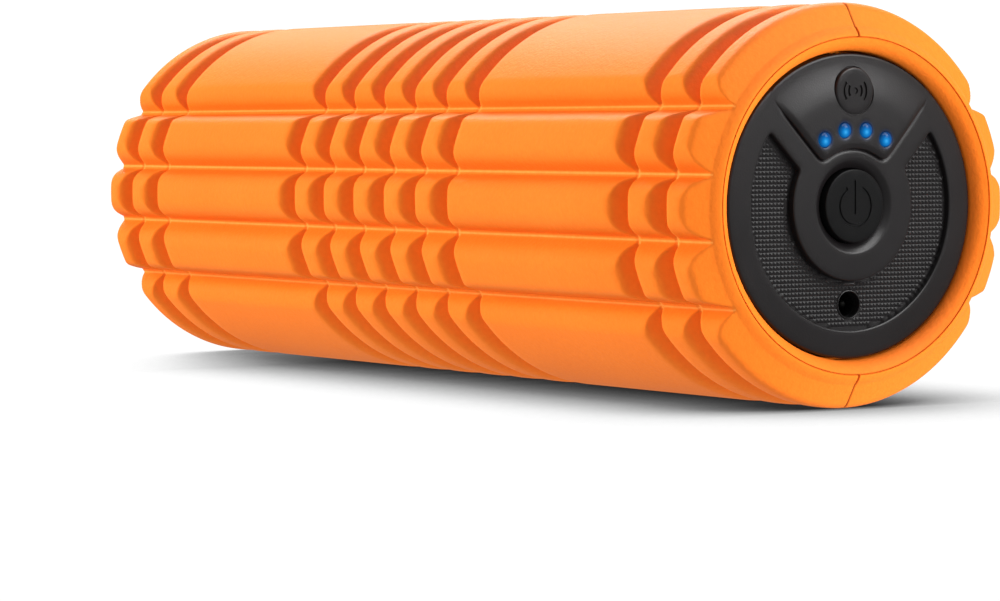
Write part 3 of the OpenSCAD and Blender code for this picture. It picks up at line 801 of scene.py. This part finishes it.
def round_over(radius, steps):
    """A quarter round between a face and a wall, as (distance to the wall, depth)."""
    angles = [math.radians(90 * k / steps) for k in range(steps + 1)]
    return [(radius * (1 - math.sin(a)), radius * (1 - math.cos(a))) for a in angles]


def rounded_rim(relief, height):
    """Adds the cap's outer edge: a round from the face down to its side."""
    for inset, down in round_over(RIM_ROUND, 5):
        ring = circle(CAP_R - inset, 0.7)
        relief.loop(ring, height(ring) - down)


def walled_opening(relief, outline, height):
    """Adds a recess's edge: a round from the face, then a wall down past the grip's floor."""
    for inset, down in round_over(OPENING_ROUND, 4):
        ring = grow(outline, inset)
        relief.loop(ring, height(ring) - down)
    wall = grow(outline, -0.12)
    relief.loop(wall, RECESS_X - 0.6)
    return wall


def cap_body():
    """The part of a cap behind its face: the collar, and the spigot that fits the tube."""
    chamfer = 0.5
    front = PLATE_BACK + 0.2
    profile = [(front, SPIGOT_BORE_R), (front, CAP_R), (CAP_COLLAR_X, CAP_R), (CAP_COLLAR_X, SPIGOT_R),
               (SPIGOT_END + chamfer, SPIGOT_R), (SPIGOT_END, SPIGOT_R - chamfer),
               (SPIGOT_END, SPIGOT_BORE_R)]
    return lathe(profile, 180)


def vibration_glyph():
    """Outlines of a dot between two pairs of arcs, a plain sign for vibration."""
    outlines = [circle(0.8, 0.2, (0.0, BADGE_Z))]
    for r in (2.0, 3.4):
        for side in (0.0, math.pi):
            half, open_angle = 0.28, math.radians(38)
            band = np.concatenate([
                arc(r + half, side - open_angle, side + open_angle, 0.2, (0.0, BADGE_Z)),
                arc(r - half, side + open_angle, side - open_angle, 0.2, (0.0, BADGE_Z))])
            outlines.append(rounded(band, 0.2, 0.1))
    return outlines


def add_lights(relief):
    """Adds a socket for each light, and returns their holes."""
    holes = []
    for place in light_places():
        for r, down in LIGHT_SOCKET:
            ring = circle(r, 0.4, place)
            relief.loop(ring, raised(ring) - down)
        holes.append(circle(LIGHT_R + 0.08, 0.4, place))
        relief.loop(holes[-1], PLATE_BACK + 1.5)
    return holes


def add_badge(relief, level):
    """Adds a round plate in a shallow moat, with the vibration sign sunk into it."""
    centre = (0.0, BADGE_Z)
    for offset, up in BADGE_MOAT:
        ring = circle(BADGE_R + offset, 0.4, centre)
        relief.loop(ring, raised(ring) + up)
    for offset, up in BADGE_EDGE:
        relief.loop(circle(BADGE_R + offset, 0.4, centre), level + up)
    for outline in vibration_glyph():
        relief.loop(grow(outline, 0.06), level + BADGE_TOP)
        relief.loop(grow(outline, -0.06), level + GLYPH_FLOOR)


def front_cap(material):
    """The control cap's shell: fan panel, badge, lights, button dish and recess."""
    relief = Relief()
    fan = fan_outline()
    rounded_rim(relief, face)
    holes = [walled_opening(relief, recess_outline(), face)]
    for offset, amount in FAN_STEP:
        ring = grow(fan, offset)
        clear_of_badge = np.hypot(ring[:, 0], ring[:, 1] - BADGE_Z) > BADGE_R + 2.5
        relief.loop(ring, face(ring, amount), clear_of_badge)
    brim = face(circle(DISH_R, 0.5))[0]
    for r, down in DISH_SLOPE:
        relief.loop(circle(r, 0.5), brim - down)
    well = circle(BUTTON_R + 0.22, 0.5)
    relief.loop(well, BUTTON_BACK + 2.5)
    holes += [well] + add_lights(relief)
    badge_level = raised(np.array([[0.0, BADGE_Z]]))[0]
    add_badge(relief, badge_level)
    badge_edge = circle(BADGE_R - 0.15, 0.4, (0.0, BADGE_Z))

    def fill_height(points):
        heights = face(points, within(points, fan).astype(float))
        heights[within(points, badge_edge)] = badge_level + BADGE_TOP
        for outline in vibration_glyph():
            heights[within(points, outline)] = badge_level + GLYPH_FLOOR
        return heights

    boundary = circle(CAP_R, 0.7)
    relief.fill(grow(boundary, -0.8), holes + [circle(DISH_R, 0.5)], 1.1, fill_height)
    parts = [relief.solid(grow(boundary, 0.01), holes, PLATE_BACK), cap_body()]
    piece = add_mesh("front_cap_shell", *join_parts(parts), material)
    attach(piece, "roller")
    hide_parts("front_cap")


def grip_floor(outline, with_jack):
    """The recess floor: a square field of small pyramids on a slab, wider than the opening."""
    relief = Relief()
    edge = grow(outline, 0.35)
    relief.loop(edge, RECESS_X + GRIP_VALLEY)
    jack = (0.0, JACK_Z)
    holes = []
    if with_jack:
        for offset, down in JACK_LIP:
            relief.loop(circle(JACK_HOLE_R + offset, 0.4, jack), RECESS_X - down)
        holes.append(circle(JACK_HOLE_R, 0.5, jack))
        relief.loop(holes[0], PLATE_BACK + 0.5)
    count = int((RECESS_OUT_R + 1) / GRIP_PITCH)
    corner = np.array([(GRIP_PITCH * i, GRIP_PITCH * j) for j in range(-count, count + 1)
                       for i in range(-count, count + 1)])
    peak = corner + GRIP_PITCH / 2
    for points, height, margin in ((corner, GRIP_VALLEY, 0.4), (peak, GRIP_PEAK, 0.75)):
        keep = within(points, grow(outline, -margin))
        if with_jack:
            keep &= np.hypot(points[:, 0], points[:, 1] - JACK_Z) > JACK_HOLE_R + 0.6
        if points is corner:
            relief.valleys(keep.reshape(2 * count + 1, 2 * count + 1))
        relief.scatter(points[keep], RECESS_X + height)
    return relief.solid(grow(edge, 0.01), holes, PLATE_BACK + 0.3)


def grip_piece(name, part, material):
    piece = add_mesh(name, *part, material, 10.0)
    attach(piece, "roller")


def power_symbol():
    """Outlines of the power symbol: an open ring and a bar."""
    up, full = math.pi / 2, 2 * math.pi
    start, end = up + SYMBOL_HALF_GAP, up + full - SYMBOL_HALF_GAP
    inner_r, outer_r = SYMBOL_R
    band = np.concatenate([arc(outer_r, start, end, 0.25), arc(inner_r, end, start, 0.25)])
    half, low, high = SYMBOL_BAR
    bar = np.array([(-half, low), (half, low), (half, high), (-half, high)])
    return [rounded(band, 0.25, 0.1), rounded(bar, 0.25, 0.1)]


def power_button(material):
    """The button: a flat disc with a rounded edge and an engraved power symbol."""
    relief = Relief()
    for inset, down in round_over(BUTTON_ROUND, 4):
        relief.loop(circle(BUTTON_R - inset, 0.4), BUTTON_FACE - down)
    for outline in power_symbol():
        relief.loop(grow(outline, 0.07), BUTTON_FACE)
        relief.loop(grow(outline, -0.05), BUTTON_FACE - SYMBOL_DEPTH)

    def height(points):
        heights = np.full(len(points), BUTTON_FACE)
        for outline in power_symbol():
            heights[within(points, outline)] = BUTTON_FACE - SYMBOL_DEPTH
        return heights

    boundary = circle(BUTTON_R, 0.4)
    relief.fill(grow(boundary, -0.6), [], 1.4, height)
    flange = turned_disc(BUTTON_BACK, BUTTON_BACK + 1.6, BUTTON_R + 1.6)
    stem = turned_disc(PLUNGER_TOP + 0.05, BUTTON_BACK + 0.2, 2.2)
    parts = [relief.solid(grow(boundary, 0.01), [], BUTTON_BACK + 1.5), flange, stem]
    piece = add_mesh("power_button_cap", *join_parts(parts), material)
    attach(piece, "button")
    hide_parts("power_button")


def turned_disc(low, high, radius, edge=0.25):
    """A turned disc with a small chamfer on both rims."""
    profile = [(low, 0.0), (high, 0.0), (high, radius - edge), (high - edge, radius),
               (low + edge, radius), (low, radius - edge)]
    return drop_poles(*lathe(profile, 72))


def light_lenses(material):
    """Four domed lenses, each with its own origin on its axis."""
    for number, (y, z) in enumerate(light_places(), start=1):
        base = dome(np.array([[y, z]]))[0] + FAN_RISE - 0.12
        bulge = [(base + LIGHT_DOME * math.cos(a), LIGHT_R * math.sin(a))
                 for a in np.linspace(0, math.pi / 2, 9)]
        profile = [(LIGHT_BACK, 0.0)] + bulge + [(LIGHT_BACK, LIGHT_R)]
        piece = add_mesh("light_lens_%d" % number, *drop_poles(*lathe(profile, 36)), material)
        piece.location = (0.0, y * MM, z * MM)
        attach(piece, "roller")
        if number == 1:
            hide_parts("light_pipes")


def rear_cap(material):
    """The plain end: the same dome and rim, with a full ring of the grip texture."""
    boundary, outer, inner = circle(CAP_R, 0.7), circle(RECESS_OUT_R, 0.6), circle(RECESS_IN_R, 0.6)
    relief = Relief()
    rounded_rim(relief, dome)
    holes = [walled_opening(relief, outer, dome)]
    relief.fill(grow(boundary, -0.8), [outer], 1.5, dome)
    hub = Relief()
    for inset, down in round_over(OPENING_ROUND, 4):
        ring = circle(RECESS_IN_R - inset, 0.6)
        hub.loop(ring, dome(ring) - down)
    hub.fill(grow(inner, -0.6), [], 1.5, dome)
    parts = [relief.solid(grow(boundary, 0.01), holes, PLATE_BACK),
             hub.solid(grow(inner, 0.01), [], PLATE_BACK), cap_body()]
    piece = add_mesh("rear_cap_shell", *mirrored_x(join_parts(parts)), material)
    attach(piece, "roller")
    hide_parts("rear_cap")
    grip_piece("rear_cap_grip", mirrored_x(grip_floor(outer, False)), material)


# ---------------------------------------------------------------- materials of the CAD nodes

def finish_internals():
    """Gives every CAD node that is still shown a material of its own kind."""
    def moulded(name, colour, **settings):
        return plastic(name, colour, **settings).material

    nylon = moulded("socket_nylon", NYLON, roughness=0.4)
    steel = metal("zinc_steel", rgb(0.55, 0.56, 0.58), 0.3)
    black_steel = metal("black_steel", rgb(0.06, 0.06, 0.065), 0.4)
    bearing_steel = metal("bearing_steel", rgb(0.62, 0.63, 0.65), 0.15, brush=(30.0, 1.0, 1.0))
    brass = metal("brass", rgb(0.6, 0.42, 0.15), 0.3)
    finishes = {
        "core_tube": moulded("tube_plastic", rgb(0.05, 0.05, 0.054), roughness=0.5),
        "status_leds": moulded("led_ceramic", rgb(0.8, 0.8, 0.74), roughness=0.3),
        "control_board": moulded("solder_mask", rgb(0.012, 0.11, 0.045), roughness=0.25, grain=900.0),
        "board_chips": moulded("chip_epoxy", rgb(0.015, 0.015, 0.017), roughness=0.5),
        "board_capacitor": metal("capacitor_can", rgb(0.5, 0.5, 0.53), 0.3),
        "board_inductor": moulded("ferrite", rgb(0.06, 0.05, 0.045), roughness=0.7),
        "battery_socket": nylon,
        "motor_socket": nylon,
        "switch_body": moulded("switch_plastic", rgb(0.02, 0.02, 0.022)),
        "switch_plunger": moulded("plunger_plastic", rgb(0.65, 0.6, 0.54)),
        "charge_jack_housing": moulded("jack_plastic", rgb(0.003, 0.003, 0.003), roughness=0.7, shine=0.1),
        "charge_jack_pin": metal("jack_pin", rgb(0.012, 0.012, 0.011), 0.6),
        "charge_jack_spring": metal("jack_spring", rgb(0.02, 0.02, 0.02), 0.55),
        "battery_cells": moulded("cell_sleeve", rgb(0.02, 0.19, 0.42), roughness=0.25, speckle=0.05),
        "battery_tabs": metal("nickel", rgb(0.6, 0.58, 0.54), 0.35),
        "battery_leads": moulded("lead_red", rgb(0.5, 0.015, 0.012), roughness=0.4),
        "motor_leads": moulded("lead_black", rgb(0.02, 0.02, 0.02), roughness=0.4),
        "chassis_lower": moulded("chassis_plastic", rgb(0.1, 0.105, 0.11), roughness=0.55),
        "chassis_upper": moulded("chassis_lid_plastic", rgb(0.12, 0.125, 0.13), roughness=0.55),
        "isolation_rings": moulded("ring_rubber", rgb(0.014, 0.014, 0.015), roughness=0.75),
        "end_cushions": moulded("cushion_rubber", rgb(0.016, 0.016, 0.017), roughness=0.8),
        "motor_can": metal("motor_can", rgb(0.42, 0.43, 0.45), 0.35, brush=(1.0, 30.0, 30.0)),
        "motor_end_cap": moulded("end_cap_nylon", rgb(0.7, 0.66, 0.56)),
        "motor_magnets": moulded("magnet_ferrite", rgb(0.045, 0.042, 0.042), roughness=0.6),
        "motor_brushes": moulded("graphite", rgb(0.03, 0.027, 0.025), roughness=0.6),
        "motor_armature": metal("winding_copper", rgb(0.5, 0.2, 0.08), 0.35, brush=(1.0, 60.0, 60.0)),
        "eccentric_weights": metal("sintered_steel", rgb(0.3, 0.28, 0.26), 0.55, scale=900.0),
        "bearing_cages": metal("cage_brass", rgb(0.5, 0.35, 0.12), 0.35),
    }
    for name in ("cap_screws", "board_screws", "chassis_screws", "motor_screws", "motor_shaft",
                 "drive_shaft"):
        finishes[name] = steel
    for name in ("coupling_set_screws", "weight_set_screws"):
        finishes[name] = black_steel
    for name in ("bearing_outer_races", "bearing_inner_races", "bearing_balls"):
        finishes[name] = bearing_steel
    for name in ("motor_terminals", "shaft_coupling"):
        finishes[name] = brass
    for name, material in finishes.items():
        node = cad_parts[name]
        node.data.materials.clear()
        node.data.materials.append(material)


# ---------------------------------------------------------------- stage, lights and camera

def floor_material():
    """White paper that holds a soft neutral shadow where something stands on it."""
    n = Nodes("floor_paper")
    open_sky = n.add("ShaderNodeAmbientOcclusion", {"Distance": SHADOW_REACH}, samples=16).outputs["AO"]
    along = n.add("ShaderNodeSeparateXYZ", {"Vector": n.place}).outputs["X"]
    ends = n.math("ADD", n.spread(along, *SHADOW_FAR_END), n.spread(along, *SHADOW_NEAR_END))
    tones = [(place, rgb(level, level, level)) for place, level in SHADOW_STEPS]
    shade = n.ramp(n.math("ADD", open_sky, ends), tones)
    fibre = n.spread(n.noise(400.0, 2.0), 0.3, 0.7, 0.985, 1.015)
    paper = n.math("MULTIPLY", n.math("MULTIPLY", shade, fibre), PAPER_WHITE)
    rays = n.add("ShaderNodeLightPath")
    shown = n.math("MULTIPLY", n.math("SUBTRACT", paper, FLOOR_LIGHT), rays.outputs["Is Camera Ray"])
    mirrored = n.math("MULTIPLY", rays.outputs["Is Glossy Ray"], FLOOR_SHEEN - FLOOR_LIGHT)
    strength = n.math("ADD", n.math("ADD", shown, mirrored), FLOOR_LIGHT)
    return n.set(Base_Color=rgb(0.0, 0.0, 0.0), Roughness=1.0, Specular_IOR_Level=0.0,
                 Emission_Color=rgb(1.0, 1.0, 1.0), Emission_Strength=strength)


def floor():
    """A wide flat floor under the roller."""
    ground = cad_box[0][Z]
    corners = [(x * FLOOR_HALF, y * FLOOR_HALF, ground) for x, y in ((-1, -1), (1, -1), (1, 1), (-1, 1))]
    mesh = bpy.data.meshes.new("floor")
    mesh.from_pydata(corners, [], [(0, 1, 2, 3)])
    mesh.materials.append(floor_material())
    piece = bpy.data.objects.new("floor", mesh)
    bpy.context.scene.collection.objects.link(piece)


def studio_world():
    """Even white surroundings that the camera sees as plain white."""
    world = bpy.data.worlds.new("studio")
    bpy.context.scene.world = world
    world.use_nodes = True
    tree = world.node_tree
    back = tree.nodes["Background"]
    back.inputs["Color"].default_value = rgb(1.0, 1.0, 1.0)
    rays = tree.nodes.new("ShaderNodeLightPath")
    strength = tree.nodes.new("ShaderNodeMapRange")
    strength.inputs["To Min"].default_value = WORLD_LIGHT
    strength.inputs["To Max"].default_value = WORLD_SEEN
    tree.links.new(rays.outputs["Is Camera Ray"], strength.inputs["Value"])
    tree.links.new(strength.outputs[0], back.inputs["Strength"])


def softbox(name, place, size, power, matt, glossy):
    """A soft light aimed at the roller's middle. It can be kept out of matt or glossy light."""
    light = bpy.data.lights.new(name, "AREA")
    light.shape = "RECTANGLE"
    light.size, light.size_y = size
    light.energy = power
    lamp = bpy.data.objects.new(name, light)
    lamp.location = place
    lamp.visible_diffuse = matt
    lamp.visible_glossy = glossy
    lamp.rotation_euler = (-Vector(place)).to_track_quat("-Z", "Y").to_euler()
    bpy.context.scene.collection.objects.link(lamp)


def camera():
    """The camera, near the floor and off the control end."""
    data = bpy.data.cameras.new("camera")
    data.sensor_width = 36.0
    data.lens = CAMERA_LENS
    data.clip_end = 100.0
    data.shift_x, data.shift_y = CAMERA_SHIFT
    view = bpy.data.objects.new("camera", data)
    flat = math.cos(CAMERA_ELEVATION)
    view.location = CAMERA_DISTANCE * Vector((math.sin(CAMERA_AZIMUTH) * flat,
                                              -math.cos(CAMERA_AZIMUTH) * flat,
                                              math.sin(CAMERA_ELEVATION)))
    turn = (CAMERA_AIM - view.location).to_track_quat("-Z", "Y").to_matrix().to_4x4()
    roll = Matrix.Rotation(CAMERA_ROLL, 4, Vector((0.0, 0.0, 1.0)))
    view.matrix_world = Matrix.Translation(view.location) @ turn @ roll
    bpy.context.scene.collection.objects.link(view)
    bpy.context.scene.camera = view
    bpy.context.scene.view_settings.view_transform = "Standard"


# ---------------------------------------------------------------- build

foam_sleeve(foam_material())
front_cap(cap_material())
grip_piece("front_cap_grip", grip_floor(recess_outline(), True),
           plastic("grip_plastic", CAP_COLOUR, 0.42, shine=0.42).material)
power_button(plastic("button_plastic", BUTTON_COLOUR, 0.4, shine=0.12).material)
light_lenses(lens_material())
rear_cap(plastic("rear_cap_plastic", CAP_COLOUR, 0.46, shine=0.3).material)
finish_internals()
floor()
studio_world()
for settings in SOFTBOXES:
    softbox(*settings)
camera()
